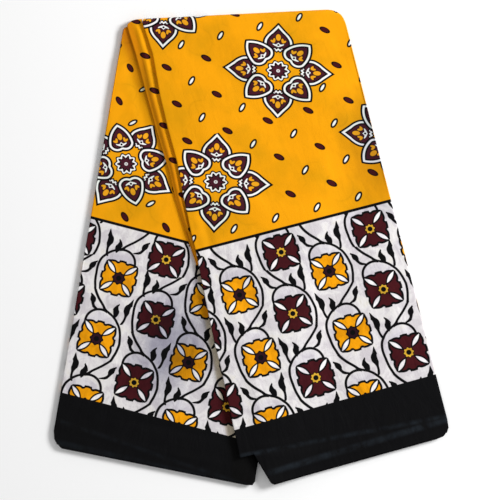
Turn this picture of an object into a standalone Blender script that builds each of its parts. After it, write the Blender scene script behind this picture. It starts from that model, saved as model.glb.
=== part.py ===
"""A kanga, a printed cotton wrap cloth, folded and laid flat.

The cloth is 1.50 m by 1.10 m. It is pleated into 0.25 m panels, doubled over at the top and fanned out in two
lobes: the upper one swings to +X and lies over the lower one, which swings to -X. Units are metres and +Z is up.
The top fold is at +Y and the hems are at -Y. Outlines are in millimetres, in plan.
"""

import math
from typing import NamedTuple

import bmesh
import bpy
from mathutils import Vector

MM = 0.001
NAME = "kanga_wrap_cloth"
# The middle of the outlines' box, in millimetres, which becomes the origin
MIDDLE = Vector((-1.05, 0.46))

# Thicknesses and heights, in millimetres
WALL = 1.0
SEAM = 0.3
FOLD_GAP = 0.4
NOSE = 2 * WALL + FOLD_GAP
RETURN = 8.0
# A return grows by this share of the way from the hem's corner or the turn over the top fold
RETURN_SPREAD = 0.35
LOBE = 6.1
LOBE_ON_FLOOR = 7.1
BOTH_LOBES = 13.5
STRIP_TOP = 8.8
# How far the strip and the lower lobe's top layer run on under the upper lobe's left fold
TUCK = 8.0
# Past the lower lobe's right fold, the upper lobe comes down to the floor between these distances
STEP_FROM, STEP_TO = 4.0, 74.0
# Near the top fold it comes down this much further out, from this Y up
TOP_HOLD, HOLD_FROM = 26.0, 60.0

# The top fold's line in plan: its height over X = 0, and its slope
TOP_Y, TOP_SLOPE = 280.4, 0.05


class At(NamedTuple):
    """A point of an outline, in millimetres, and how far along its side it comes."""

    share: float
    x: float
    y: float


# The upper lobe's left fold, from the top down
LEFT_FOLD = (
    At(0.00, -130.5, 273.5),
    At(0.08, -118.9, 231.2),
    At(0.18, -109.9, 180.8),
    At(0.25, -100.7, 142.2),
    At(0.33, -89.6, 101.9),
    At(0.40, -82.6, 64.2),
    At(0.49, -73.4, 19.8),
    At(0.54, -66.6, -7.0),
    At(0.63, -57.1, -55.1),
    At(0.74, -44.9, -114.4),
    At(0.80, -36.8, -145.0),
    At(0.90, -25.6, -198.5),
    At(1.00, -14.4, -251.4),
)
# The upper lobe's right fold, straight, with its lower corner rounded
RIGHT_FOLD = (
    At(0.00, 109.2, 285.4),
    At(0.96, 233.9, -205.5),
    At(0.985, 235.5, -215.5),
    At(1.00, 233.4, -222.2),
)
# The upper lobe's lower side: a tucked pleat, a slant beside the notch, and the hem
UPPER_HEM = (
    At(0.00, -14.4, -251.4),
    At(0.06, 2.4, -247.2),
    At(0.10, 8.0, -257.3),
    At(0.19, 22.6, -281.6),
    At(0.22, 27.0, -283.6),
    At(0.955, 220.5, -229.6),
    At(0.98, 228.4, -226.6),
    At(1.00, 233.4, -222.2),
)
# The pleat strip's left fold, down to where it runs out under the upper lobe
STRIP_FOLD = (
    At(0.00, -150.9, 267.0),
    At(0.12, -139.6, 232.0),
    At(0.26, -128.9, 191.4),
    At(0.39, -118.1, 153.2),
    At(0.50, -109.0, 121.1),
    At(0.59, -99.9, 93.6),
    At(0.71, -91.8, 58.1),
    At(0.83, -81.1, 22.8),
    At(0.92, -72.6, -3.2),
    At(1.00, -65.4, -24.0),
)
# The lower lobe's left fold, with its lower corner rounded
LOWER_LEFT = (
    At(0.00, -152.4, 272.8),
    At(0.96, -237.6, -219.8),
    At(0.985, -236.9, -229.5),
    At(1.00, -233.6, -236.2),
)
# The lower lobe's hem, with both corners rounded
LOWER_HEM = (
    At(0.00, -233.6, -236.2),
    At(0.02, -227.6, -240.8),
    At(0.97, -7.0, -284.6),
    At(0.99, 0.8, -284.6),
    At(1.00, 4.0, -280.2),
)
# The lower lobe's right fold, which the upper lobe hides down to the notch
LOWER_RIGHT = (At(0.00, 98.0, 280.0), At(1.00, 4.0, -280.2))


def along(side, share):
    """The point at a share of the way along a side."""
    for a, b in zip(side, side[1:]):
        if share <= b.share:
            way = (share - a.share) / (b.share - a.share)
            return Vector((a.x + (b.x - a.x) * way, a.y + (b.y - a.y) * way))
    return Vector((side[-1].x, side[-1].y))


def at_height(side, y):
    """The point of a side at one Y."""
    for a, b in zip(side, side[1:]):
        if b.y <= y:
            way = (y - a.y) / (b.y - a.y)
            return Vector((a.x + (b.x - a.x) * way, y))
    return Vector((side[-1].x, side[-1].y))


def top_line(x, inward=0.0):
    """A point of the top fold's line, or of its parallel further in."""
    return Vector((x, TOP_Y + TOP_SLOPE * x - inward))


AHEAD = Vector((1.0, TOP_SLOPE)).normalized()
OUTWARD = Vector((-AHEAD.y, AHEAD.x))
# The hems' rounded corners crowd their outer columns, which spread out again towards the top
SPREAD = (
    (0.0, 0.0),
    (0.02, 0.24),
    (0.06, 0.08),
    (0.955, 0.86),
    (0.97, 0.80),
    (0.98, 0.93),
    (0.99, 0.90),
    (1.0, 1.0),
)


def top_side(first, last, own, inward=0.0):
    """The top end of a panel's plan, along the top fold's line, with the hem's own columns spread out."""
    table = [(0.0, 0.0), *((share, place) for share, place in SPREAD if share in own), (1.0, 1.0)]

    def top(u):
        for (a, from_), (b, to) in zip(table, table[1:]):
            if u <= b:
                return top_line(first + (last - first) * (from_ + (to - from_) * (u - a) / (b - a)), inward)
        return top_line(last, inward)

    return top


def shares(count, *own):
    """Shares from 0 to 1: an outline's own ones, with even ones wherever none of those is near."""
    near = 0.4 / count
    even = [i / count for i in range(count + 1)]
    kept = [share for share in even if share in (0, 1) or all(abs(share - o) > near for o in own)]
    return sorted({*kept, *own})


def patch(left, right, top, bottom, across, down):
    """Rows of plan points between four sides, from the top down, each row from left to right."""
    corner = {(u, v): (bottom if v else top)(u) for u in (0, 1) for v in (0, 1)}
    rows = []
    for v in down:
        row = []
        for u in across:
            ruled = left(v) * (1 - u) + right(v) * u + top(u) * (1 - v) + bottom(u) * v
            shared = (corner[0, 0] * (1 - u) + corner[1, 0] * u) * (1 - v)
            shared += (corner[0, 1] * (1 - u) + corner[1, 1] * u) * v
            row.append(ruled - shared)
        rows.append(row)
    return rows


def smooth(share):
    share = min(max(share, 0.0), 1.0)
    return share * share * (3 - 2 * share)


def upper_top(p):
    """How high the upper lobe's top layer lies: on the lower lobe, or down on the floor beside it."""
    a, b = LOWER_RIGHT[0], LOWER_RIGHT[-1]
    lean = Vector((a.x - b.x, a.y - b.y)).normalized()
    past = (p - Vector((b.x, b.y))).dot(Vector((lean.y, -lean.x)))
    past -= TOP_HOLD * smooth((p.y - HOLD_FROM) / (TOP_Y - HOLD_FROM))
    down = smooth((past - STEP_FROM) / (STEP_TO - STEP_FROM))
    return BOTH_LOBES + (LOBE_ON_FLOOR - BOTH_LOBES) * down


def material(name, colour, roughness):
    mat = bpy.data.materials.new(name)
    mat.use_nodes = True
    shader = mat.node_tree.nodes["Principled BSDF"]
    shader.inputs["Base Color"].default_value = (*colour, 1.0)
    shader.inputs["Roughness"].default_value = roughness
    shader.inputs["Metallic"].default_value = 0.0
    mat.diffuse_color = (*colour, 1.0)
    return mat


def new_object(name, bm, mats, collection):
    bm.normal_update()
    mesh = bpy.data.meshes.new(name)
    bm.to_mesh(mesh)
    bm.free()
    for mat in mats:
        mesh.materials.append(mat)
    mesh.shade_smooth()
    obj = bpy.data.objects.new(name, mesh)
    collection.objects.link(obj)
    return obj


def placed(x, y, z):
    return Vector(((x - MIDDLE.x) * MM, (y - MIDDLE.y) * MM, z * MM))


# A fold's nose is half round. Its steps are angles from straight up
NOSE_STEPS = [math.radians(a) for a in (0, 45, 90, 135, 180)]


def fold_section(edge, inward, reach, inside):
    """Plan points and depths of a folded edge, from the top layer round to the end of its return: those of the
    cloth's outer face, or of the one inside the fold."""
    radius = NOSE / 2
    bend = radius - WALL if inside else radius
    points = [(edge + inward * (radius - bend * math.sin(a)), radius - bend * math.cos(a)) for a in NOSE_STEPS]
    return [*points, (edge + inward * reach, radius + bend)]


def panel_face(row, left_in, right_in, reach, inside):
    """One face of a panel along one section: plan points with their depths, from left to right. A side with no
    inward direction has a plain edge."""
    depth = WALL if inside else 0.0
    left = list(reversed(fold_section(row[0], left_in, reach, inside))) if left_in else [(row[0], depth)]
    right = fold_section(row[-1], right_in, reach, inside) if right_in else [(row[-1], depth)]
    return [*left, *((p, depth) for p in row[1:-1]), *right]


def panel_section(row, left_in, right_in, reach):
    """One closed section across a panel's wall, round its outer face and back along its inner one."""
    outer = panel_face(row, left_in, right_in, reach, False)
    inner = panel_face(row, left_in, right_in, reach, True)
    return [*outer, *reversed(inner)]


def inward_of(before, after, to_right):
    """The direction into a panel from its edge, square to it in plan."""
    run = (after - before).normalized()
    return Vector((-run.y, run.x)) if to_right else Vector((run.y, -run.x))


def split(bm, a, b, c, d, other_way):
    """Two triangles of a quad. Faces that lie on each other are split the same way, so that their gap is even."""
    if other_way:
        a, b, c, d = b, c, d, a
    bm.faces.new((a, b, c))
    bm.faces.new((a, c, d))


def wall(name, rows, left_fold, right_fold, top, turn, mats, collection):
    """A wall of cloth through closed sections across it. turn, if any, carries its top end over the top fold: how
    far in from the fold's line the rows start, and a row for each angle of the turn."""
    bm = bmesh.new()
    sections = []
    for j, row in enumerate(rows):
        a, b = rows[max(j - 1, 0)], rows[min(j + 1, len(rows) - 1)]
        turned = turn and j == 0
        left_in = (AHEAD if turned else inward_of(a[0], b[0], True)) if left_fold else None
        right_in = (-AHEAD if turned else inward_of(a[-1], b[-1], False)) if right_fold else None
        to_end = min((row[0] - rows[-1][0]).length, (row[0] - rows[0][0]).length if turn else math.inf)
        reach = min(RETURN, NOSE + RETURN_SPREAD * to_end)
        sections.append(panel_section(row, left_in, right_in, reach))
    rings = []
    if turn:
        inward, steps = turn
        middle = (rows[0][0] + rows[0][-1]) / 2
        half = (rows[0][-1] - rows[0][0]).length / 2
        for step in reversed(steps):
            angle = math.radians(step.angle)
            ring = []
            for p, depth in sections[0]:
                radius = top(p) / 2
                side = (p - middle).dot(AHEAD) / half
                drawn = step.draw_left * max(-side, 0.0) ** 3 - step.draw_right * max(side, 0.0) ** 3
                q = p + OUTWARD * (inward - depth) * math.sin(angle) + AHEAD * drawn
                z = radius + (radius - depth) * math.cos(angle)
                ring.append(bm.verts.new(placed(q.x, q.y, z)))
            rings.append(ring)
    for section in sections:
        rings.append([bm.verts.new(placed(p.x, p.y, top(p) - depth)) for p, depth in section])
    count = len(rings[0])
    for upper, lower in zip(rings, rings[1:]):
        for i in range(count):
            j = (i + 1) % count
            split(bm, upper[i], lower[i], lower[j], upper[j], i >= count // 2)
    for i in range(count // 2 - 1):
        j = count - 1 - i
        first, last = rings[0], rings[-1]
        bm.faces.new((first[i], first[i + 1], first[j - 1], first[j]))
        bm.faces.new((last[i + 1], last[i], last[j], last[j - 1]))
    return new_object(name, bm, mats, collection)


class Ring(NamedTuple):
    """One ring round a stack of hidden layers: how far in it lies, in millimetres, and its level, as a share of
    the stack's height there, on each of its four sides."""

    left_in: float
    left_level: float
    right_in: float
    right_level: float
    hem_in: float
    hem_level: float
    top_in: float
    top_level: float


# Below the floor the stacks run on, and are cut flat afterwards
UPPER_RINGS = (
    Ring(10.0, -0.20, 1.4, -0.20, 1.8, -0.20, 8.0, -0.20),
    Ring(10.0, 0.588, 0.6, 0.25, 1.0, 0.20, 6.6, 0.12),
    Ring(1.6, 0.595, 1.5, 0.50, 2.6, 0.36, 2.2, 0.34),
    Ring(0.7, 0.710, 0.6, 0.74, 1.2, 0.55, 1.6, 0.52),
    Ring(1.6, 0.832, 1.5, 0.96, 2.8, 0.70, 1.9, 0.70),
    Ring(1.4, 0.842, 1.9, 0.98, 2.0, 0.78, 2.4, 0.79),
    Ring(0.6, 0.920, 2.5, 1.00, 1.2, 0.86, 3.4, 0.88),
    Ring(1.6, 1.000, 3.5, 1.00, 1.8, 1.00, 6.9, 1.00),
    Ring(9.0, 1.000, 9.0, 1.00, 3.0, 1.00, 9.0, 1.00),
)
LOWER_RINGS = (
    Ring(1.3, -0.40, 1.3, -0.40, 1.6, -0.40, 8.0, -0.40),
    Ring(0.6, 0.25, 0.6, 0.25, 0.9, 0.22, 7.0, 0.25),
    Ring(1.4, 0.50, 1.4, 0.50, 2.3, 0.42, 6.8, 0.50),
    Ring(0.6, 0.74, 0.6, 0.74, 1.0, 0.68, 7.0, 0.75),
    Ring(1.4, 1.00, 1.4, 1.00, 1.7, 1.00, 8.0, 1.00),
    Ring(9.0, 1.00, 3.0, 1.00, 3.0, 1.00, 10.0, 1.00),
)
# The corners at the top fold are rounded off by this much more
CORNER_MORE = 2.4
# The upper stack's lowest rings leave room for what is tucked under it, straight across its lower left corner.
# The next three are a pleat that stands back behind the strip, down to the strip's end, and the top ones lie
# under the top layer's returns
TUCK_RINGS, RETURN_RINGS = 2, 7
# This many of the hem's points belong to the left side
LEFT_TURN = 3
SET_BACK, SET_BACK_RINGS = 8.8, (2, 3, 4)
STRIP_END, BACK_OVER = -24.0, 40.0


def set_back(p):
    return SET_BACK * (1 - smooth((STRIP_END - p.y) / BACK_OVER))


def stack(rows, rings, height, inward, folded_sides, stands_back):
    """A stack of folded layers as one closed mesh: rings up its four sides, a top grid and a flat floor. Its
    rows start this far in from the top fold's line. The top layer has returns at its folded sides."""
    last = len(rows) - 1
    wide = len(rows[0]) - 1
    border = [(rows[j][0], "left") for j in range(last)]
    for i in range(wide):
        border.append((rows[last][i], "left" if i < LEFT_TURN else "right" if i == wide - 1 else "hem"))
    border += [(rows[j][-1], "right") for j in range(last, 0, -1)]
    border += [(p, "top") for p in reversed(rows[0][1:])]
    count = len(border)
    bm = bmesh.new()
    loops = []
    for k, ring in enumerate(rings):
        points = []
        for i, (p, side) in enumerate(border):
            (before, side_before), (after, _) = border[i - 1], border[(i + 1) % count]
            run_in, run_out = (p - before).normalized(), (after - p).normalized()
            across = Vector((-run_in.y - run_out.y, run_in.x + run_out.x))
            across = across.normalized() / max(across.length / 2, 0.6)
            sides = [side, side_before]
            if stands_back and k >= RETURN_RINGS and last <= i <= last + LEFT_TURN:
                sides = ["hem", "left" if i == last else "hem"]
            inset = sum(getattr(ring, s + "_in") for s in sides) / 2
            if stands_back and k in SET_BACK_RINGS and side == "left" and i:
                inset += set_back(p)
            if sides.count("top") == 1:
                inset = ring.top_in + CORNER_MORE
            q = p + across * inset
            if "top" in sides:
                q += OUTWARD * inward
            level = sum(getattr(ring, s + "_level") for s in sides) / 2
            low = SEAM + (NOSE if any(s in folded_sides for s in sides) else WALL)
            points.append(Vector((q.x, q.y, (height(q) - low) * level)))
        if stands_back and k < TUCK_RINGS:
            start, end = last - 1, last + LEFT_TURN - 1
            for i in range(start + 1, end):
                points[i] = points[start].lerp(points[end], (i - start) / (end - start))
        loops.append([bm.verts.new(placed(*q)) for q in points])
    for lower, upper in zip(loops, loops[1:]):
        for i in range(count):
            j = (i + 1) % count
            bm.faces.new((lower[i], lower[j], upper[j], upper[i]))
    rim = loops[-1]
    grid = [[None] * (wide + 1) for _ in rows]
    for i in range(last + 1):
        grid[i][0] = rim[i]
        grid[i][wide] = rim[(last + wide + last - i) % count]
    for i in range(wide + 1):
        grid[last][i] = rim[last + i]
        grid[0][i] = rim[(count - i) % count]
    for j in range(1, last):
        for i in range(1, wide):
            p = rows[j][i]
            grid[j][i] = bm.verts.new(placed(p.x, p.y, height(p) - WALL - SEAM))
    for j in range(last):
        for i in range(wide):
            split(bm, grid[j][i], grid[j + 1][i], grid[j + 1][i + 1], grid[j][i + 1], False)
    bm.faces.new(list(reversed(loops[0])))
    return bm


def cut_by(obj, cutter, operation):
    boolean = obj.modifiers.new(cutter.name, "BOOLEAN")
    boolean.operation = operation
    boolean.solver = "MANIFOLD"
    boolean.object = cutter
    cutter.hide_render = True
    cutter.display_type = "WIRE"


# How far in from the top fold's line the panels' plans end, where their turns begin
UPPER_INWARD = BOTH_LOBES / 2
STRIP_INWARD = STRIP_TOP / 2
UPPER_ACROSS = shares(13, 0.06, 0.10, 0.19, 0.22, 0.955, 0.98)
UPPER_DOWN = shares(20, *(a.share for a in LEFT_FOLD[1:-1]), 0.96, 0.985)
LOWER_ACROSS = shares(9, 0.02, 0.05, 0.97, 0.99)


def without(all_shares, *left_out):
    return [share for share in all_shares if share not in left_out]


def upper_rows(across, down):
    """The upper lobe's plan, with its top end where its turn over the top fold begins."""
    top = top_side(LEFT_FOLD[0].x, RIGHT_FOLD[0].x, (0.06, 0.955, 0.98), UPPER_INWARD)
    left = (At(0.0, *top(0)), *LEFT_FOLD[1:])
    right = (At(0.0, *top(1)), *RIGHT_FOLD[1:])
    sides = (lambda v: along(left, v), lambda v: along(right, v), top, lambda u: along(UPPER_HEM, u))
    return patch(*sides, across, down)


class Turn(NamedTuple):
    """A section in the turn over the top fold: its angle in degrees, and how far its ends are drawn in."""

    angle: float
    draw_left: float
    draw_right: float


UPPER_TURN = (
    Turn(30, 0.1, 0.6),
    Turn(60, 0.4, 2.6),
    Turn(90, 1.0, 5.5),
    Turn(120, 1.6, 8.0),
    Turn(150, 2.2, 9.5),
)
STRIP_TURN = (Turn(30, 0.3, 0.0), Turn(60, 0.9, 0.0), Turn(90, 1.8, 0.0), Turn(120, 2.6, 0.0))


def right_panel(mats, collection):
    turn = (UPPER_INWARD, UPPER_TURN)
    rows = upper_rows(UPPER_ACROSS, UPPER_DOWN)
    return wall("right_panel", rows, True, True, upper_top, turn, mats, collection)


# The lower lobe's top layer on its right: tucked under the upper lobe's fold, then its own edge in the notch
LEFT_PANEL_RIGHT = (
    At(0.0, -128.5, 273.5),
    *(At(0.0, a.x + TUCK, a.y) for a in LEFT_FOLD[1:-2]),
    At(0.0, -18.5, -198.5),
    At(0.0, -8.0, -236.0),
    At(0.0, 6.8, -256.5),
    At(0.0, 3.7, -280.2),
)
LEFT_PANEL_TOP = 262.4


def left_panel(mats, collection):
    """The lower lobe's top layer, from just under the top fold to its hem."""
    start = at_height(LOWER_LEFT, LEFT_PANEL_TOP)
    end = LEFT_PANEL_RIGHT[-1]
    left = (At(0.0, *start), *LOWER_LEFT[1:])
    slant = top_side(0.0, 1.0, (0.02, 0.97, 0.99))

    def right(v):
        return at_height(LEFT_PANEL_RIGHT, start.y + (end.y - start.y) * v)

    def top(u):
        return start.lerp(right(0), slant(u).x)

    low = [(start.y - y) / (start.y - end.y) for y in (-236.0, -256.5)]
    down = shares(20, 0.96, 0.985, *low)
    sides = (lambda v: along(left, v), right, top, lambda u: along(LOWER_HEM, u))
    rows = patch(*sides, LOWER_ACROSS, down)
    return wall("left_panel", rows, True, False, lambda p: LOBE, None, mats, collection)


# The strip's right side, clear of the upper lobe's turn over the top fold and then tucked under its left fold
STRIP_RIGHT = (
    At(0.0, -131.5, 273.5),
    *(At(0.0, a.x + TUCK, a.y) for a in LEFT_FOLD[1:]),
)


def pleat_strip(mats, collection):
    """The pleat between the two lobes, whose top end goes over the top fold beside the upper lobe's."""
    end = STRIP_FOLD[-1]

    def top(u):
        return top_line(STRIP_FOLD[0].x + (STRIP_RIGHT[0].x - STRIP_FOLD[0].x) * u, STRIP_INWARD)

    def right(v):
        return at_height(STRIP_RIGHT, top(1).y + (end.y - top(1).y) * v) if v else top(1)

    def bottom(u):
        return Vector((end.x, end.y)).lerp(right(1), u)

    left = (At(0.0, *top(0)), *STRIP_FOLD[1:])
    down = [a.share for a in STRIP_FOLD]
    rows = patch(lambda v: along(left, v), right, top, bottom, shares(4), down)
    turn = (STRIP_INWARD, STRIP_TURN)
    return wall("pleat_strip", rows, True, False, lambda p: STRIP_TOP, turn, mats, collection)


def inner_layers(mats, collection, cutters):
    """Both lobes' hidden layers, joined and cut flat where they rest."""
    rows = upper_rows(without(UPPER_ACROSS, 0.98), without(UPPER_DOWN, 0.985))
    upper = stack(rows, UPPER_RINGS, upper_top, UPPER_INWARD, ("left", "right"), True)
    top = top_side(LOWER_LEFT[0].x, LOWER_RIGHT[0].x, (0.97,))
    right = (At(0.0, *top(1)), *LOWER_RIGHT[1:])
    sides = (lambda v: along(LOWER_LEFT, v), lambda v: along(right, v), top, lambda u: along(LOWER_HEM, u))
    rows = patch(*sides, without(LOWER_ACROSS, 0.02, 0.99), shares(18, 0.96, 0.985))
    lower = stack(rows, LOWER_RINGS, lambda p: LOBE, 0.0, ("left",), False)
    obj = new_object("inner_layers", lower, mats, collection)
    cut_by(obj, new_object("upper_stack", upper, mats, cutters), "UNION")
    floor = bmesh.new()
    bmesh.ops.create_cube(floor, size=1.0)
    bmesh.ops.scale(floor, vec=(1.0, 1.0, 0.1), verts=floor.verts)
    bmesh.ops.translate(floor, vec=(0.0, 0.0, -0.05), verts=floor.verts)
    cut_by(obj, new_object("floor_cut", floor, mats, cutters), "DIFFERENCE")
    return obj


def main():
    for obj in list(bpy.data.objects):
        bpy.data.objects.remove(obj)
    part = bpy.data.collections.new(NAME)
    cutters = bpy.data.collections.new("cutters")
    for collection in (part, cutters):
        bpy.context.scene.collection.children.link(collection)
    printed = material("printed_cotton", (0.95, 0.38, 0.01), 0.85)
    plain = material("hidden_cotton", (0.75, 0.55, 0.30), 0.9)
    right_panel([printed], part)
    left_panel([printed], part)
    pleat_strip([printed], part)
    inner_layers([plain], part, cutters)


main()
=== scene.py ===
"""A kanga, a printed cotton wrap cloth, folded and fanned out in two lobes on a pale floor.

Everything is in metres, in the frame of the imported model. Outlines, heights and creases are in millimetres,
in the cloth's own plan, and MIDDLE is the model's origin in that plan.
"""

import functools
import math
from typing import NamedTuple

import bpy
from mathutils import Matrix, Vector


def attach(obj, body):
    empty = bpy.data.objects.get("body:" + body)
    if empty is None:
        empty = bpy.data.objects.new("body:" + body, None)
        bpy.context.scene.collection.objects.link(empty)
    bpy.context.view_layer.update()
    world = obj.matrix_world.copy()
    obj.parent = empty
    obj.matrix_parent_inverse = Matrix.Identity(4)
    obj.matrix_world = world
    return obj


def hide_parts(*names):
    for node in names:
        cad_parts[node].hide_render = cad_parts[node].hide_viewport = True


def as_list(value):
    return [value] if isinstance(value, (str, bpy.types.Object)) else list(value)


MM = 0.001
MIDDLE = Vector((-1.05, 0.46))

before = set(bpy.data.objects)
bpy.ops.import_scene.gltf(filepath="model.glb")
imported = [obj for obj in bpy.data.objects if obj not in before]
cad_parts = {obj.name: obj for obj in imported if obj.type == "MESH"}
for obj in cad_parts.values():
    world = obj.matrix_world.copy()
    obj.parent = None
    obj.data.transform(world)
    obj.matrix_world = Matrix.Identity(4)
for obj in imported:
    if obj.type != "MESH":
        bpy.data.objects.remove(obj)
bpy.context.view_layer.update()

# Heights and thicknesses, in millimetres
CLOTH = 0.55
NOSE = 2.4
RETURN = 8.0
RETURN_SPREAD = 0.35
LOBE = 6.1
LOBE_ON_FLOOR = 7.1
BOTH_LOBES = 13.5
STRIP_TOP = 8.8
TUCK = 8.0
STEP_FROM, STEP_TO = 4.0, 74.0
TOP_HOLD, HOLD_FROM = 26.0, 60.0
TOP_Y, TOP_SLOPE = 280.4, 0.05


class At(NamedTuple):
    """A point of an outline, and how far along its side it comes."""

    share: float
    x: float
    y: float


# The upper lobe's left fold, from the top down
LEFT_FOLD = (
    At(0.00, -130.5, 273.5),
    At(0.08, -118.9, 231.2),
    At(0.18, -109.9, 180.8),
    At(0.25, -100.7, 142.2),
    At(0.33, -89.6, 101.9),
    At(0.40, -82.6, 64.2),
    At(0.49, -73.4, 19.8),
    At(0.54, -66.6, -7.0),
    At(0.63, -57.1, -55.1),
    At(0.74, -44.9, -114.4),
    At(0.80, -36.8, -145.0),
    At(0.90, -25.6, -198.5),
    At(1.00, -14.4, -251.4),
)
# The upper lobe's right fold, straight, with its lower corner rounded
RIGHT_FOLD = (
    At(0.00, 109.2, 285.4),
    At(0.96, 233.9, -205.5),
    At(0.985, 235.5, -215.5),
    At(1.00, 233.4, -222.2),
)
# The upper lobe's lower side: a tucked pleat, a slant beside the notch, and the hem
UPPER_HEM = (
    At(0.00, -14.4, -251.4),
    At(0.06, 2.4, -247.2),
    At(0.10, 8.0, -257.3),
    At(0.19, 22.6, -281.6),
    At(0.22, 27.0, -283.6),
    At(0.955, 220.5, -229.6),
    At(0.98, 228.4, -226.6),
    At(1.00, 233.4, -222.2),
)
# The pleat strip's left fold, down to where it runs out under the upper lobe
STRIP_FOLD = (
    At(0.00, -150.9, 267.0),
    At(0.12, -139.6, 232.0),
    At(0.26, -128.9, 191.4),
    At(0.39, -118.1, 153.2),
    At(0.50, -109.0, 121.1),
    At(0.59, -99.9, 93.6),
    At(0.71, -91.8, 58.1),
    At(0.83, -81.1, 22.8),
    At(0.92, -72.6, -3.2),
    At(1.00, -65.4, -24.0),
)
# The lower lobe's left fold, its hem with both corners rounded, and its right fold, hidden down to the notch
LOWER_LEFT = (
    At(0.00, -152.4, 272.8),
    At(0.96, -237.6, -219.8),
    At(0.985, -236.9, -229.5),
    At(1.00, -233.6, -236.2),
)
LOWER_HEM = (
    At(0.00, -233.6, -236.2),
    At(0.02, -227.6, -240.8),
    At(0.97, -7.0, -284.6),
    At(0.99, 0.8, -284.6),
    At(1.00, 4.0, -280.2),
)
LOWER_RIGHT = (At(0.00, 98.0, 280.0), At(1.00, 4.0, -280.2))
# The lower lobe's top layer on its right: tucked under the upper lobe's fold, then its own edge in the notch
LEFT_PANEL_RIGHT = (
    At(0.0, -128.5, 273.5),
    *(At(0.0, a.x + TUCK, a.y) for a in LEFT_FOLD[1:-2]),
    At(0.0, -18.5, -198.5),
    At(0.0, -8.0, -236.0),
    At(0.0, 6.8, -256.5),
    At(0.0, 3.7, -280.2),
)
LEFT_PANEL_TOP = 264.4
STRIP_RIGHT = (
    At(0.0, -131.5, 273.5),
    *(At(0.0, a.x + TUCK, a.y) for a in LEFT_FOLD[1:]),
)


def along(side, share):
    """The point at a share of the way along a side."""
    for a, b in zip(side, side[1:]):
        if share <= b.share:
            way = (share - a.share) / (b.share - a.share)
            return Vector((a.x + (b.x - a.x) * way, a.y + (b.y - a.y) * way))
    return Vector((side[-1].x, side[-1].y))


def at_height(side, y):
    """The point of a side at one Y."""
    for a, b in zip(side, side[1:]):
        if b.y <= y:
            way = (y - a.y) / (b.y - a.y)
            return Vector((a.x + (b.x - a.x) * way, y))
    return Vector((side[-1].x, side[-1].y))


def top_line(x, inward=0.0):
    """A point of the top fold's line, or of its parallel further in."""
    return Vector((x, TOP_Y + TOP_SLOPE * x - inward))


AHEAD = Vector((1.0, TOP_SLOPE)).normalized()
OUTWARD = Vector((-AHEAD.y, AHEAD.x))


def shares(count, *own):
    """Shares from 0 to 1: an outline's own ones, with even ones wherever none of those is near."""
    near = 0.4 / count
    even = [i / count for i in range(count + 1)]
    kept = [share for share in even if share in (0, 1) or all(abs(share - o) > near for o in own)]
    return sorted({*kept, *own})


def patch(left, right, top, bottom, across, down):
    """Rows of plan points between four sides, from the top down, each row from left to right."""
    corner = {(u, v): (bottom if v else top)(u) for u in (0, 1) for v in (0, 1)}
    rows = []
    for v in down:
        row = []
        for u in across:
            ruled = left(v) * (1 - u) + right(v) * u + top(u) * (1 - v) + bottom(u) * v
            shared = (corner[0, 0] * (1 - u) + corner[1, 0] * u) * (1 - v)
            shared += (corner[0, 1] * (1 - u) + corner[1, 1] * u) * v
            row.append(ruled - shared)
        rows.append(row)
    return rows


def smooth(share):
    share = min(max(share, 0.0), 1.0)
    return share * share * (3 - 2 * share)


def upper_top(p):
    """How high the upper lobe's top layer lies: on the lower lobe, or down on the floor beside it."""
    a, b = LOWER_RIGHT[0], LOWER_RIGHT[-1]
    lean = Vector((a.x - b.x, a.y - b.y)).normalized()
    past = (p - Vector((b.x, b.y))).dot(Vector((lean.y, -lean.x)))
    past -= TOP_HOLD * smooth((p.y - HOLD_FROM) / (TOP_Y - HOLD_FROM))
    down = smooth((past - STEP_FROM) / (STEP_TO - STEP_FROM))
    return BOTH_LOBES + (LOBE_ON_FLOOR - BOTH_LOBES) * down


# The top fold's two rounded corners: where each is, which way its two sides run, and its reach
TOP_CORNERS = (
    (Vector((109.6, 286.4)), -AHEAD, Vector((0.246, -0.969)), 22.0),
    (Vector((-152.4, 272.8)), AHEAD, Vector((-0.170, -0.985)), 17.0),
)


def rounded(p):
    """A plan point drawn in where it lies near one of the top fold's corners."""
    for corner, inward, down, reach in TOP_CORNERS:
        away = p - corner
        cross = inward.x * down.y - inward.y * down.x
        s = (away.x * down.y - away.y * down.x) / cross
        t = (inward.x * away.y - inward.y * away.x) / cross
        if s < reach and t < reach:
            weight = (1 - max(s, 0.0) / reach) * (1 - max(t, 0.0) / reach)
            p = p + (inward + down) * (0.29 * reach * weight * weight)
    return p


def placed(p, z):
    """A plan point and a height in the model's frame, with the top fold's corners rounded."""
    p = rounded(p) - MIDDLE
    return Vector((p.x * MM, p.y * MM, z * MM))


class Point(NamedTuple):
    """A point of a sheet: its place in plan, its depth under the top face, and its flat place."""

    plan: Vector
    depth: float
    cloth: Vector


NOSE_STEPS = [math.radians(a) for a in (0, 22, 45, 68, 90, 112, 135, 158, 180)]


def folded_edge(edge, inward, reach, height):
    """A folded edge, from the top layer round to the end of its return."""
    radius = height / 2
    points = []
    for a in NOSE_STEPS:
        p = edge + inward * (radius - radius * math.sin(a))
        points.append(Point(p, radius - radius * math.cos(a), edge + inward * radius * (1 - a)))
    for share in (0.4, 1.0):
        far = radius + (reach - radius) * share
        under = radius * (math.pi - 1) + far - radius
        points.append(Point(edge + inward * far, height, edge - inward * under))
    return points


def inward_of(before, after, to_right):
    """The direction into a panel from its edge, square to it in plan."""
    run = (after - before).normalized()
    return Vector((-run.y, run.x)) if to_right else Vector((run.y, -run.x))


class Sheet(NamedTuple):
    """A stretch of cloth, folded on its left: its plan's rows, whether it is folded on its right too, its
    height, its creases, how high its folds are, and its turn over the top fold."""

    name: str
    rows: list
    right_fold: bool
    top: object
    relief: object
    nose: float
    turn: object


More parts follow.
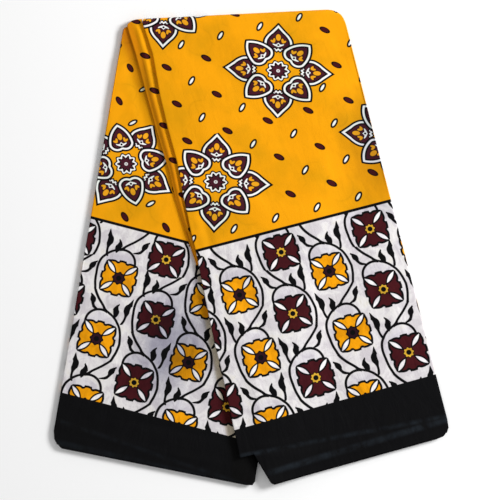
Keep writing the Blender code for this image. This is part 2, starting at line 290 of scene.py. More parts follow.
def make_mesh(name, grid, cloth_at, painted_shade_at=lambda p: 0.0):
    """A mesh through a grid of (place, point on the flat cloth), with a map of the flat cloth in metres, and
    one of how much painted shade lies on it."""
    wide = len(grid[0])
    mesh = bpy.data.meshes.new(name)
    faces = []
    for j in range(len(grid) - 1):
        for i in range(wide - 1):
            faces.append((j * wide + i, (j + 1) * wide + i, (j + 1) * wide + i + 1, j * wide + i + 1))
    mesh.from_pydata([place for row in grid for place, _ in row], [], faces)
    flat = [cloth_at(cloth) for row in grid for _, cloth in row]
    painted_shade = [(painted_shade_at(cloth), 0.0) for row in grid for _, cloth in row]
    for label, values in (("cloth", flat), ("edge", painted_shade)):
        layer = mesh.uv_layers.new(name=label)
        for loop in mesh.loops:
            layer.data[loop.index].uv = values[loop.vertex_index]
    mesh.shade_smooth()
    obj = bpy.data.objects.new(name, mesh)
    bpy.context.scene.collection.objects.link(obj)
    return obj


def sheet_grid(sheet):
    """The places of a sheet's grid, from the end of its turn down to its hem."""
    rows = sheet.rows
    grid = []
    sections = []
    for j, row in enumerate(rows):
        a, b = rows[max(j - 1, 0)], rows[min(j + 1, len(rows) - 1)]
        turned = sheet.turn and j == 0
        to_end = (row[0] - rows[-1][0]).length
        if sheet.turn:
            to_end = min(to_end, (row[0] - rows[0][0]).length)
        reach = min(RETURN, sheet.nose + RETURN_SPREAD * to_end)
        inward = AHEAD if turned else inward_of(a[0], b[0], True)
        section = [*reversed(folded_edge(row[0], inward, reach, sheet.nose))]
        section += [Point(p, 0.0, p) for p in row[1:-1]]
        if sheet.right_fold:
            inward = -AHEAD if turned else inward_of(a[-1], b[-1], False)
            section += folded_edge(row[-1], inward, reach, sheet.nose)
        else:
            section.append(Point(row[-1], 0.0, row[-1]))
        sections.append(section)
    if sheet.turn:
        inward, steps = sheet.turn
        middle = (rows[0][0] + rows[0][-1]) / 2
        half = (rows[0][-1] - rows[0][0]).length / 2
        for angle, draw_left, draw_right in reversed(steps):
            angle = math.radians(angle)
            line = []
            for point in sections[0]:
                radius = sheet.top(point.plan) / 2
                side = (point.plan - middle).dot(AHEAD) / half
                drawn = draw_left * max(-side, 0.0) ** 3 - draw_right * max(side, 0.0) ** 3
                q = point.plan + OUTWARD * (inward - point.depth) * math.sin(angle) + AHEAD * drawn
                z = radius + (radius - point.depth) * math.cos(angle)
                line.append((placed(q, z), point.cloth + OUTWARD * radius * angle + rounded(q) - q))
            grid.append(line)
    for section in sections:
        line = []
        for point in section:
            z = sheet.top(point.plan) - point.depth
            if not point.depth:
                z += sheet.relief(point.plan)
            line.append((placed(point.plan, z), point.cloth + rounded(point.plan) - point.plan))
        grid.append(line)
    return grid


def finish_sheet(obj, material, node, flat, rests_on):
    """Gives a sheet its thickness, its material and its place in the frame."""
    solid = obj.modifiers.new("thickness", "SOLIDIFY")
    solid.thickness = CLOTH * MM
    solid.offset = -1.0
    obj.data.materials.append(material)
    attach(obj, "root")
    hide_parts(node)
    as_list(rests_on)


def lobe_rows(left, right, hem, inward, across, down):
    """A whole lobe's plan, from a line just inward of the top fold down to its hem."""
    first, last = left[0].x, right[0].x

    def top(u):
        return top_line(first + (last - first) * u, inward)

    left = (At(0.0, *top(0)), *left[1:])
    right = (At(0.0, *top(1)), *right[1:])
    sides = (lambda v: along(left, v), lambda v: along(right, v), top, lambda u: along(hem, u))
    return patch(*sides, across, down)


def lower_rows(across, down):
    """The lower lobe's top layer, from just under the top fold to its hem."""
    start = at_height(LOWER_LEFT, LEFT_PANEL_TOP)
    end = LEFT_PANEL_RIGHT[-1]
    left = (At(0.0, *start), *LOWER_LEFT[1:])

    def right(v):
        return at_height(LEFT_PANEL_RIGHT, start.y + (end.y - start.y) * v)

    def top(u):
        return start.lerp(right(0), u)

    return patch(lambda v: along(left, v), right, top, lambda u: along(LOWER_HEM, u), across, down)


def strip_rows(across, down):
    """The pleat between the two lobes, whose top end goes over the top fold beside the upper lobe's."""
    end = STRIP_FOLD[-1]

    def top(u):
        return top_line(STRIP_FOLD[0].x + (STRIP_RIGHT[0].x - STRIP_FOLD[0].x) * u, STRIP_TOP / 2)

    def right(v):
        return at_height(STRIP_RIGHT, top(1).y + (end.y - top(1).y) * v) if v else top(1)

    left = (At(0.0, *top(0)), *STRIP_FOLD[1:])
    sides = (lambda v: along(left, v), right, top, lambda u: Vector((end.x, end.y)).lerp(right(1), u))
    return patch(*sides, across, down)


def inset_rows(rows, left_in, right_in, hem_in):
    """A plan drawn in from its sides and from its hem."""
    out = []
    count = len(rows) - 1
    for j, row in enumerate(rows):
        a, b = rows[max(j - 1, 0)], rows[min(j + 1, count)]
        left = inward_of(a[0], b[0], True) * left_in
        right = inward_of(a[-1], b[-1], False) * right_in
        wide = len(row) - 1
        up = (rows[0][wide // 2] - rows[count][wide // 2]).normalized()
        up = up * hem_in * smooth((j / count - 0.9) / 0.1)
        out.append([p + left.lerp(right, i / wide) + up for i, p in enumerate(row)])
    return out


class Crease(NamedTuple):
    """A soft ridge, or a trough where its lift is negative, along a line that may bow to its left."""

    start: tuple
    end: tuple
    width: float
    lift: float
    bow: float = 0.0


def relief_of(creases):
    """The height that a set of creases adds at a plan point."""
    lines = []
    for crease in creases:
        start, end = Vector(crease.start), Vector(crease.end)
        run = end - start
        lines.append((start, run.normalized(), run.length, crease))

    def relief(p):
        height = 0.0
        for start, way, size, crease in lines:
            at = (p - start).dot(way) / size
            if -0.15 < at < 1.15:
                off = (p - start).dot(Vector((-way.y, way.x))) - crease.bow * 4 * at * (1 - at)
                if abs(off) < 3 * crease.width:
                    ends = smooth((at + 0.15) / 0.35) * smooth((1.15 - at) / 0.35)
                    height += crease.lift * math.exp(-(off / crease.width) ** 2) * ends
        return height

    return relief


RIGHT_CREASES = [Crease(*values) for values in (
    ((7, -243), (222, -204), 2.6, -0.9, -5),
    ((20, -268), (232, -206), 3.4, 1.1, -5),
    ((12, -252), (110, -238), 3, 0.7, 1),
    ((-63, 52), (-44, -22), 6, -1.3),
    ((-74, 70), (-20, -170), 5, 0.7, 2),
    ((-70, 240), (54, 110), 20, -1.3, 8),
    ((-30, 262), (110, 160), 15, 1.1, -10),
    ((96, 262), (150, 70), 17, -1.2, 6),
    ((10, 70), (140, 26), 14, -1.1, 6),
    ((-60, 150), (20, 30), 13, 1, -7),
    ((60, 150), (176, 100), 12, 1, 5),
    ((-34, -40), (8, -196), 9, 1.2, 5),
    ((-6, -46), (34, -150), 10, -1, -3),
    ((66, -12), (106, -196), 14, -1.2, 8),
    ((150, 30), (190, -150), 13, 1.1, -6),
    ((18, -84), (92, -62), 4.5, 0.5, 2),
    ((60, -130), (132, -96), 5, -0.5, -3),
    ((110, -60), (176, -46), 4.5, 0.5, 3),
    ((-18, -176), (52, -150), 5, -0.6, 2),
    ((120, -170), (196, -140), 5, 0.5, -3),
    ((20, -20), (58, -34), 5, 0.5, 1),
)]
LEFT_CREASES = [Crease(*values) for values in (
    ((-82, -52), (-62, -196), 20, -1.7, -6),
    ((-122, -60), (-132, -186), 14, 1, 4),
    ((-151, 245), (-116, 110), 6.5, -1.4, -2),
    ((-152, 240), (-176, 96), 10, 0.8, -3),
    ((-112, 132), (-92, 62), 5, -1.2),
    ((-190, 100), (-150, 20), 12, -0.9, 4),
    ((-186, 24), (-110, 8), 9, 0.8, 3),
    ((-206, -10), (-168, -90), 9, -0.9, 4),
    ((-196, -50), (-140, -76), 6, 0.7, -2),
    ((-214, -90), (-160, -150), 8, 0.9, 3),
    ((-206, -168), (-140, -150), 6, -0.6, -3),
    ((-160, -30), (-120, -110), 5, -0.5, 2),
    ((-110, -120), (-70, -150), 6, 0.6, 3),
    ((-226, -214), (-20, -262), 4, 0.8, -3),
    ((-150, -208), (-30, -232), 6, -0.8, 2),
)]


def strip_relief(p):
    """The pleat strip's roll, steeper on its left, highest a little left of its middle."""
    away = at_height(LEFT_FOLD, p.y).x - p.x
    wide = at_height(LEFT_FOLD, p.y).x - at_height(STRIP_FOLD, p.y).x
    crest = min(9.5, wide * 0.58)
    slope = 2.6 if away > crest else 4.4
    ends = smooth((wide - away) / 5.0) * smooth((274.0 - p.y) / 20.0)
    return 2.4 * math.exp(-((away - crest) / slope) ** 2) * ends


# The print's colours, as the inks lie on the cotton
YELLOW = (0.90, 0.36, 0.0012)
MAROON = (0.058, 0.0055, 0.0085)
BLACK = (0.0016, 0.0016, 0.0022)
# The next colour is a painted highlight, the pale bluish sheen on the black band's crease ridges
PAINTED_CREASE_SHEEN = (0.010, 0.0135, 0.018)
WHITE = (0.78, 0.755, 0.75)
PURPLE = (0.062, 0.009, 0.019)
TULIP_YELLOW = (0.88, 0.37, 0.012)
RING_YELLOW = (0.72, 0.42, 0.035)
SHADED_WHITE = (0.70, 0.675, 0.705)
BRIGHT_WHITE = (0.95, 0.93, 0.93)
DARK_MAROON = (0.024, 0.005, 0.011)
# How far ink bleeds over its edge, in millimetres
BLEED = 0.45


class Term:
    """A number that varies over the cloth, inside a node group. Plain arithmetic on it adds Math nodes."""

    def __init__(self, tree, socket):
        self.tree = tree
        self.socket = socket

    def __add__(self, other):
        return maths("ADD", self, other)

    __radd__ = __add__

    def __sub__(self, other):
        return maths("SUBTRACT", self, other)

    def __rsub__(self, other):
        return maths("SUBTRACT", other, self)

    def __mul__(self, other):
        return maths("MULTIPLY", self, other)

    __rmul__ = __mul__

    def __truediv__(self, other):
        return maths("DIVIDE", self, other)

    def __neg__(self):
        return maths("MULTIPLY", self, -1.0)

    def __abs__(self):
        return maths("ABSOLUTE", self)


def connect(tree, value, socket):
    if isinstance(value, Term):
        tree.links.new(value.socket, socket)
    else:
        socket.default_value = value


def maths(operation, *values, clamp=False):
    tree = next(value.tree for value in values if isinstance(value, Term))
    node = tree.nodes.new("ShaderNodeMath")
    node.operation = operation
    node.use_clamp = clamp
    for socket, value in zip(node.inputs, values):
        connect(tree, value, socket)
    return Term(tree, node.outputs["Value"])


def smaller(a, b):
    return maths("MINIMUM", a, b)


def larger(a, b):
    return maths("MAXIMUM", a, b)


def beyond(a, edge):
    """1 where a term is past an edge, and 0 elsewhere."""
    return maths("GREATER_THAN", a, edge)


def ramp(a, slope, start):
    """A mask that rises along a term, from 0 to 1."""
    return maths("MULTIPLY_ADD", a, slope, start, clamp=True)


def inside(distance):
    """A mask of where a distance is negative, in millimetres, with the ink's soft edge."""
    return ramp(distance, -1.0 / BLEED, 0.5)


def wrapped(a, pitch):
    """A term that repeats at a pitch, counted from the nearest repeat's middle."""
    return maths("WRAP", a, pitch / 2, -pitch / 2)


def length(a, b):
    return maths("SQRT", maths("MULTIPLY_ADD", a, a, b * b))


def chosen(mask, low, high):
    return maths("MULTIPLY_ADD", mask, high - low, low)


def profile(a, points):
    """A term read from a smooth curve through (input, value) points."""
    (left, _), (right, _) = points[0], points[-1]
    low, high = min(y for _, y in points), max(y for _, y in points)
    node = a.tree.nodes.new("ShaderNodeFloatCurve")
    curve = node.mapping.curves[0]
    places = [((x - left) / (right - left), (y - low) / (high - low)) for x, y in points]
    for k, place in enumerate(places):
        if k < 2:
            curve.points[k].location = place
        else:
            curve.points.new(*place)
    node.mapping.update()
    share = maths("DIVIDE", a - left, right - left, clamp=True)
    a.tree.links.new(share.socket, node.inputs["Value"])
    return maths("MULTIPLY_ADD", Term(a.tree, node.outputs["Value"]), high - low, low)


def past_curve(off, a, points):
    """How far a place lies beyond a smooth curve, square to it."""
    edge = profile(a, points)
    slope = profile(a + 1.0, points) - edge
    return (off - edge) / maths("SQRT", maths("MULTIPLY_ADD", slope, slope, 1.0))


def coloured(mask, below, above):
    """One colour over another, where a mask is."""
    node = mask.tree.nodes.new("ShaderNodeMix")
    node.data_type = "RGBA"
    sockets = {socket.identifier: socket for socket in node.inputs}
    mask.tree.links.new(mask.socket, sockets["Factor_Float"])
    for value, name in ((below, "A_Color"), (above, "B_Color")):
        connect(mask.tree, value if isinstance(value, Term) else (*value, 1.0), sockets[name])
    result = next(socket for socket in node.outputs if socket.identifier == "Result_Color")
    return Term(mask.tree, result)


def layered(colour, *layers):
    """A colour with inks over it, each inside its own distance."""
    for distance, ink in layers:
        colour = coloured(inside(distance), colour, ink)
    return colour


SOCKETS = {"number": "NodeSocketFloat", "place": "NodeSocketVector", "colour": "NodeSocketColor"}


def new_group(name, inputs, outputs):
    """A node group with named inputs and outputs, and its inputs as terms."""
    tree = bpy.data.node_groups.new(name, "ShaderNodeTree")
    for label, kind in inputs.items():
        tree.interface.new_socket(label, in_out="INPUT", socket_type=SOCKETS[kind])
    for label, kind in outputs.items():
        tree.interface.new_socket(label, in_out="OUTPUT", socket_type=SOCKETS[kind])
    source = tree.nodes.new("NodeGroupInput")
    return tree, [Term(tree, source.outputs[label]) for label in inputs]


def give(tree, **results):
    """What a node group puts out."""
    end = tree.nodes.new("NodeGroupOutput")
    for label, term in results.items():
        tree.links.new(term.socket, end.inputs[label])


def use(tree, group, **values):
    """A group placed in a tree, with its own values. Gives its outputs as terms."""
    node = tree.nodes.new("ShaderNodeGroup")
    node.node_tree = group
    for label, value in values.items():
        connect(tree, value, node.inputs[label.replace("_", " ")])
    return [Term(tree, socket) for socket in node.outputs]


def parts(term):
    node = term.tree.nodes.new("ShaderNodeSeparateXYZ")
    term.tree.links.new(term.socket, node.inputs["Vector"])
    return [Term(term.tree, socket) for socket in node.outputs]


# The trellis: the pitch of one colour's columns, and how far below the field each column's flowers are
TRELLIS_PITCH = 110.0
RED_ROWS = (27.0, 100.8, 179.5, 257.0)
YELLOW_ROWS = (63.6, 140.5, 218.8)
BAND = 211.9
# How far above its flower a row starts, and how far a flower stands to its vine's far side
ROW_HEAD = 57.5
SWAY = 3.0
# How far each row's upper part leans to one side
LEAN = 2.2
VINE = (
    (-62, -22.6), (-57.5, -20), (-49.2, -13.3), (-39.6, -3.4), (-36.5, -0.6), (-32, 7.6), (-29.2, 12.2),
    (-24, 17.4), (-16, 22.2), (-3.6, 24.2), (7.8, 23.4), (16.3, 21.2), (20.5, 19.8), (24, 17), (28, 13.2),
    (34, 7),
)
LINE_HALF = 1.5
# The hook over a flower: its middle, its radius, and how far down and across it goes
HOOK = (-3.7, -19.3, 15.8)
HOOK_END = (6.5, 7.5)
# Each leaf on its stem: where it runs and its half width, against how far below its flower, and its fullness
LEAF_SHAPES = (
    (((-58, 24.4), (-55, 23.8), (-49, 22.4), (-44.5, 20.4), (-41, 20.3), (-37, 21), (-31.5, 21), (-27, 20.2),
      (-22, 17.9)),
     ((-58, -1), (-56, 0.3), (-52, 1.2), (-48, 2.1), (-44, 2.7), (-40, 2.6), (-36, 1.7), (-33, 1.1), (-24, 1),
      (-22.5, -1)),
     1.36),
    (((-49, 10.8), (-46, 9.6), (-41, 7.8), (-37, 8.9), (-31.7, 9.4), (-28, 9.6)),
     ((-49, -1.2), (-46.5, 0.4), (-43, 1.4), (-40, 2.3), (-37, 2.7), (-34, 2.3), (-31, 1.3), (-28, -1)),
     1.36),
    (((-54, -26.6), (-51, -25), (-48, -22.4), (-43.3, -21.2), (-39.5, -20), (-36.5, -17.4), (-34.5, -14.2),
      (-33, -11)),
     ((-54, -1.4), (-51.5, 0.3), (-49, 1.2), (-46, 2.2), (-43.5, 2.1), (-41, 1.3), (-38.5, 1), (-34, 1),
      (-33, -1)),
     1.55),
)


def make_leaf_group():
    """One trellis row's three leaves, on their stems."""
    tree, (across, down) = new_group(
        "leaf_print", {"Across": "number", "Down": "number"}, {"Shape": "number"})
    distances = []
    for run, width, fullness in LEAF_SHAPES:
        distances.append(abs(past_curve(across, down, run)) - profile(down, width) * fullness)
    give(tree, Shape=inside(functools.reduce(smaller, distances)))
    return tree


def make_vine_group():
    """One row of a column of the trellis: the vine that winds past the flower, and its hook over it."""
    tree, (across, down) = new_group(
        "vine_print", {"Across": "number", "Down": "number"}, {"Shape": "number", "Loop": "number"})
    off = past_curve(across, down, VINE)
    hook_x, hook_y, radius = HOOK
    x, y = across - hook_x, down - hook_y
    from_middle = length(x, y)
    hook = larger(abs(from_middle - radius) - LINE_HALF, larger(larger(y - HOOK_END[1], x - HOOK_END[0]), off))
    room = length((across + 2.0) / 27.0, (down + 6.0) / 30.0)
    loop = maths("MULTIPLY", 1.05 - room, 3.0, clamp=True) * maths("MULTIPLY", off, -0.4, clamp=True)
    past_hook = beyond(-14.0, down) * beyond(hook_x, across)
    past_hook = past_hook * maths("MULTIPLY", from_middle - radius, 0.8, clamp=True)
    give(tree, Shape=inside(smaller(abs(off) - LINE_HALF, hook)), Loop=loop * (1.0 - past_hook))
    return tree


PETAL = (
    (-2, 20.9), (0, 21.2), (2.4, 20.9), (4.2, 20), (5.6, 18.7), (7.2, 19.1), (9.2, 19.8), (11.4, 19.8),
    (14, 19.3), (17, 18.7), (22, 18.2),
)


def make_flower_group():
    """A flower of four scalloped petals with slits between them. Kind is 0 for dark red, and 1 for yellow."""
    tree, (across, down, kind) = new_group(
        "flower_print", {"Across": "number", "Down": "number", "Kind": "number"},
        {"Colour": "colour", "Shape": "number"})
    x, y = abs(across), abs(down)
    out, side = larger(x, y), smaller(x, y)
    edge = past_curve(out, side, PETAL)
    along_slit, off_slit = (out + side) * math.sqrt(0.5), (out - side) * math.sqrt(0.5)
    place = (along_slit - 16.9) / 8.0
    slit = off_slit - (1.0 - place * place) * 2.1
    from_middle = length(across, down)
    scallop = 0.6 * maths("COSINE", maths("ARCTAN2", down, across) * 8.0)
    colour = coloured(kind, MAROON, YELLOW)
    seam = larger(off_slit - 0.7, from_middle - 10.5)
    ring = from_middle - scallop
    colour = layered(
        colour, (seam, BLACK), (-edge - 1.5, BLACK), (slit - 1.9, BLACK), (slit, BRIGHT_WHITE),
        (ring - chosen(kind, 6.2, 7.6), BLACK),
        (ring - chosen(kind, 5.2, 6.0), coloured(kind, RING_YELLOW, DARK_MAROON)),
        (from_middle - 3.0, BLACK))
    give(tree, Colour=colour, Shape=inside(larger(edge - 1.1, along_slit - 26.4)))
    return tree


# The field's medallions: their own scale, how much they are squeezed along their short way, and their turn
SCALE, SQUEEZE = 1.043, 0.90
TURN = math.radians(17.8)
BACK_PETAL = (
    (20, 16), (30, 18), (36, 18.2), (40, 17.9), (42.5, 17.4), (46, 15.8), (49.6, 13.5), (54, 9.6), (58.7, 5.6),
    (62, 2.9), (65.2, 0.4), (68, -1.6),
)
# A heart: its two lobes' middles and radius, the notch between them, and the arc of its sides to its tip
LOBE_AT, LOBE_AWAY, LOBE_RADIUS = 28.4, 5.2, 11.7
NOTCH = 17.92
ARC_AT, ARC_AWAY, ARC_RADIUS = 25.6, 18.2, 34.9


def outlined(distance, colour):
    """The borders inside a petal's edge: black, white and a thin black line round its dark red."""
    borders = ((-0.7, BLACK), (1.7, BRIGHT_WHITE), (4.1, BLACK), (6.0, PURPLE))
    return layered(colour, *((distance + inset, ink) for inset, ink in borders))


def oval(x, y, lean, long_half, short_half):
    """The distance from the edge of a leaning oval."""
    long_way = x * math.cos(lean) + y * math.sin(lean)
    short_way = y * math.cos(lean) - x * math.sin(lean)
    return (length(long_way / long_half, short_way / short_half) - 1.0) * short_half


def make_medallion_group():
    """A medallion: four pointed petals behind, four hearts in front, and a star in the middle."""
    tree, (across, up) = new_group(
        "medallion_print", {"Across": "number", "Up": "number"}, {"Colour": "colour", "Shape": "number"})
    x = (across * math.cos(TURN) - up * math.sin(TURN)) / SCALE
    y = (across * math.sin(TURN) + up * math.cos(TURN)) / (SCALE * SQUEEZE)
    out, side = larger(abs(x), abs(y)), smaller(abs(x), abs(y))
    half = math.sqrt(0.5)
    a, b = abs((x + y) * half), abs((y - x) * half)
    heart_out, heart_side = larger(a, b), smaller(a, b)
    zigzag = maths("COSINE", side * 1.5) * 0.8
    petal = larger(past_curve(side, out, BACK_PETAL), 25.8 - out + zigzag)
    lobe = length(smaller(heart_out - LOBE_AT, 0.0), heart_side - LOBE_AWAY) - LOBE_RADIUS
    by_notch = beyond((heart_out - NOTCH) * (LOBE_AWAY / (LOBE_AT - NOTCH)), heart_side)
    lobe = chosen(by_notch, lobe, -length(heart_out - NOTCH, heart_side))
    arc = length(heart_out - ARC_AT, heart_side + ARC_AWAY) - ARC_RADIUS
    heart = larger(lobe, arc)
    from_middle = length(x, y)
    points = maths("COSINE", maths("ARCTAN2", y, x) * 10.0)
    star = from_middle - 1.2 * points
    colour = coloured(beyond(star, 14.0), BLACK, YELLOW)
    colour = outlined(petal, colour)
    colour = coloured(inside(petal) * inside(larger(3.7 - side, out - 29.6)), colour, PURPLE)
    colour = outlined(heart, colour)
    in_heart = inside(heart)
    # The tulip and its crown, counted from the crown's middle
    m = chosen(in_heart, out - 35.4, heart_out - 26.3)
    n = chosen(in_heart, side, heart_side)
    bud = (length((m - 10.4) / 4.5, n / 3.0) - 1.0) * 3.0
    tulip = smaller(bud, oval(m - 6.0, n - 5.0, -0.1, 3.1, 1.5))
    tulip = smaller(tulip, oval(m - 4.6, n - 7.0, 0.95, 2.7, 1.4))
    crown = larger(abs(m + 0.9 - n * n * 0.045) + n * 0.16 - 1.7, n - 6.6)
    crown = smaller(crown, abs(m) + n - 3.2)
    colour = layered(
        colour, (smaller(tulip, crown) - 0.6, BLACK), (tulip, TULIP_YELLOW), (crown, BRIGHT_WHITE),
        (length(m, n) - 1.4, BLACK), (star - 12.1, BRIGHT_WHITE), (star - 0.5 * points - 9.7, BLACK),
        (star - 0.3 * points - 7.4, PURPLE), (abs(from_middle - 1.5) - 0.7, WHITE))
    give(tree, Colour=colour, Shape=inside(smaller(smaller(petal, heart), star - 13.3) - 0.7))
    return tree


# The seeds' lattice: a dark one at each corner of a cell, and a white one in its middle
SEED_PITCH = (51.46, 46.82)
SEED_LEAN = (math.radians(-41), math.radians(44))
SEED_HALVES = (7.0, 3.6)
CORE_HALVES = (4.3, 1.45)


def crowded(across, up):
    """How far a seed's middle lies within a medallion's reach, counted from the medallion's middle."""
    across = wrapped(across, MEDALLION_PITCH)
    x = across * math.cos(TURN) - up * math.sin(TURN)
    y = (across * math.sin(TURN) + up * math.cos(TURN)) / SQUEEZE
    reach = length(x, y)
    return larger(beyond(51.0, reach), beyond(68.0, reach) * beyond(12.0, smaller(abs(x), abs(y))))


def make_seeds_group():
    """Dark and white seeds, left out round a medallion. From is its middle, counted from the seeds' own."""
    tree, (across, up, start_across, start_up) = new_group(
        "seeds_print", {"Across": "number", "Up": "number", "From across": "number", "From up": "number"},
        {"Colour": "colour", "Shape": "number"})
    wide, tall = SEED_PITCH
    distances = []
    for lean, step in zip(SEED_LEAN, (0.0, 0.5)):
        x, y = wrapped(across - wide * step, wide), wrapped(up - tall * step, tall)
        shut = crowded(across - x - start_across, up - y - start_up)
        distances.append(oval(x, y, lean, *SEED_HALVES) + shut * 50.0)
    dark, white = distances
    core = oval(x, y, lean, *CORE_HALVES)
    colour = coloured(inside(dark + 1.1), BLACK, MAROON)
    colour = coloured(inside(core) * inside(white), colour, BRIGHT_WHITE)
    give(tree, Colour=colour, Shape=inside(smaller(dark, white)))
    return tree


MEDALLION_PITCH = 227.4
MEDALLION_ROWS = (74.6, 188.2, 306.0)
FIELD_LINE = 1.7


def make_print_group():
    """The whole cloth's print, from a place on the flat cloth in metres: a field of medallions and seeds, a
    line, the trellis band and the black band at the hem."""
    leaves = make_leaf_group()
    vine = make_vine_group()
    flower = make_flower_group()
    medallion = make_medallion_group()
    seeds = make_seeds_group()
    tree, (cloth, first_medallion, medallions, seed_place, mirror) = new_group(
        "kanga_print",
        {"Cloth": "place", "First medallion": "number", "Medallions": "number", "Seed place": "place",
         "Mirror": "number"},
        {"Colour": "colour", "Ground": "number", "Band": "number"},
    )
    across, up, _ = parts(cloth)
    across, up = across * 1000.0, up * 1000.0
    down = -up
    seed_x, seed_y, _ = parts(seed_place)
    low, mid, high = MEDALLION_ROWS
    second, third = beyond(up, (low + mid) / 2), beyond(up, (mid + high) / 2)
    row_up = low + second * (mid - low) + third * (high - mid)
    row_across = first_medallion + (second - third) * (MEDALLION_PITCH / 2)
    medal_colour, medal_shape = use(
        tree, medallion, Across=wrapped(across - row_across, MEDALLION_PITCH), Up=up - row_up)
    medal_shape = medal_shape * medallions
    seed_colour, seed_shape = use(
        tree, seeds, Across=across - seed_x, Up=up - seed_y, From_across=row_across - seed_x,
        From_up=row_up - seed_y + (1.0 - medallions) * 1000.0)
    in_field = inside(down)
    colour = coloured(in_field, WHITE, YELLOW)
    field_colour = coloured(seed_shape, YELLOW, seed_colour)
    field_colour = coloured(medal_shape, field_colour, medal_colour)
    columns = []
    for rows, start, side in ((RED_ROWS, 0.0, -1.0), (YELLOW_ROWS, TRELLIS_PITCH / 2, 1.0)):
        x = wrapped(across * mirror - start, TRELLIS_PITCH)
        y, way = down - rows[0], side
        flower_y, flower_way = y, side
        for k, (row, following) in enumerate(zip(rows, rows[1:])):
            turn = side * (2.0 if k % 2 else -2.0)
            past = beyond(down, following - ROW_HEAD)
            y, way = y - past * (following - row), past * turn + way
            past = beyond(down, (row + following) / 2)
            flower_y, flower_way = flower_y - past * (following - row), past * turn + flower_way
        above = smaller(y, 0.0)
        lean = maths("MULTIPLY_ADD", above, above * (4 * LEAN / ROW_HEAD ** 2), above * (4 * LEAN / ROW_HEAD))
        columns.append((x, (x - lean * mirror) * way, (x - above * 0.05) * way, y, x * flower_way, flower_y))
    lines, loops = [], []
    for _, vine_x, leaf_x, y, _, _ in columns:
        shape, loop = use(tree, vine, Across=vine_x, Down=y)
        (leaf,) = use(tree, leaves, Across=leaf_x, Down=y)
        lines.append(larger(shape, leaf))
        loops.append(loop)
    is_yellow = beyond(abs(columns[0][0]), TRELLIS_PITCH / 4)
    (_, _, _, _, red_x, red_y), (_, _, _, _, yellow_x, yellow_y) = columns
    flower_colour, flower_shape = use(
        tree, flower, Across=chosen(is_yellow, red_x, yellow_x) + SWAY,
        Down=chosen(is_yellow, red_y, yellow_y), Kind=is_yellow)
    band_colour = coloured(larger(*loops), WHITE, SHADED_WHITE)
    band_colour = coloured(larger(*lines), band_colour, BLACK)
    band_colour = coloured(flower_shape, band_colour, flower_colour)
    colour = coloured(in_field, band_colour, field_colour)
    in_black = inside(BAND - down)
    black = larger(inside(abs(down) - FIELD_LINE), in_black)
    colour = coloured(black, colour, BLACK)
    give(tree, Colour=colour, Ground=in_field, Band=in_black)
    return tree


def noise(place, scale, **settings):
    """A noise over a place, as a term."""
    node = place.tree.nodes.new("ShaderNodeTexNoise")
    place.tree.links.new(place.socket, node.inputs["Vector"])
    node.inputs["Scale"].default_value = scale
    for label, value in settings.items():
        node.inputs[label].default_value = value
    return Term(place.tree, node.outputs["Fac"])


def stretched(place, x, y, turn):
    """A place turned and stretched, for a texture that runs one way."""
    node = place.tree.nodes.new("ShaderNodeMapping")
    node.inputs["Rotation"].default_value = (0.0, 0.0, turn)
    node.inputs["Scale"].default_value = (x, y, 1.0)
    place.tree.links.new(place.socket, node.inputs["Vector"])
    return Term(place.tree, node.outputs["Vector"])


def tinted(mask, colour, tint):
    """A colour multiplied by a tint, where a mask is."""
    result = coloured(mask, colour, tint)
    result.socket.node.blend_type = "MULTIPLY"
    return result


# The weave's pitch in metres, and the tints that lie over the inks
THREAD = 0.00062
COOL_WHITE = (0.82, 0.80, 0.83)
WARM_WHITE = (0.95, 0.93, 0.85)
GREY_WHITE = (0.90, 0.89, 0.92)
DULL_YELLOW = (0.79, 0.86, 0.80)
STREAK = (0.92, 0.95, 0.9)
# The next tint is painted shade, the bluish grey of a dip in the cloth
PAINTED_DIP_SHADE = (0.40, 0.41, 0.50)
# The next two tints are painted shade: the tan shadow beside a fold, and deeper shade where it is darkest
PAINTED_FOLD_SHADE = (0.84, 0.77, 0.57)
PAINTED_DEEP_SHADE = (0.72, 0.52, 0.6)
GHOST = (0.88, 0.90, 0.87)
THREAD_SHADE = (0.965, 0.965, 0.965)
# How little the cloth shines, and its threads' and wrinkles' bump
SHINE = 0.1
BUMP_STRENGTH, BUMP_DISTANCE = 0.55, 0.004


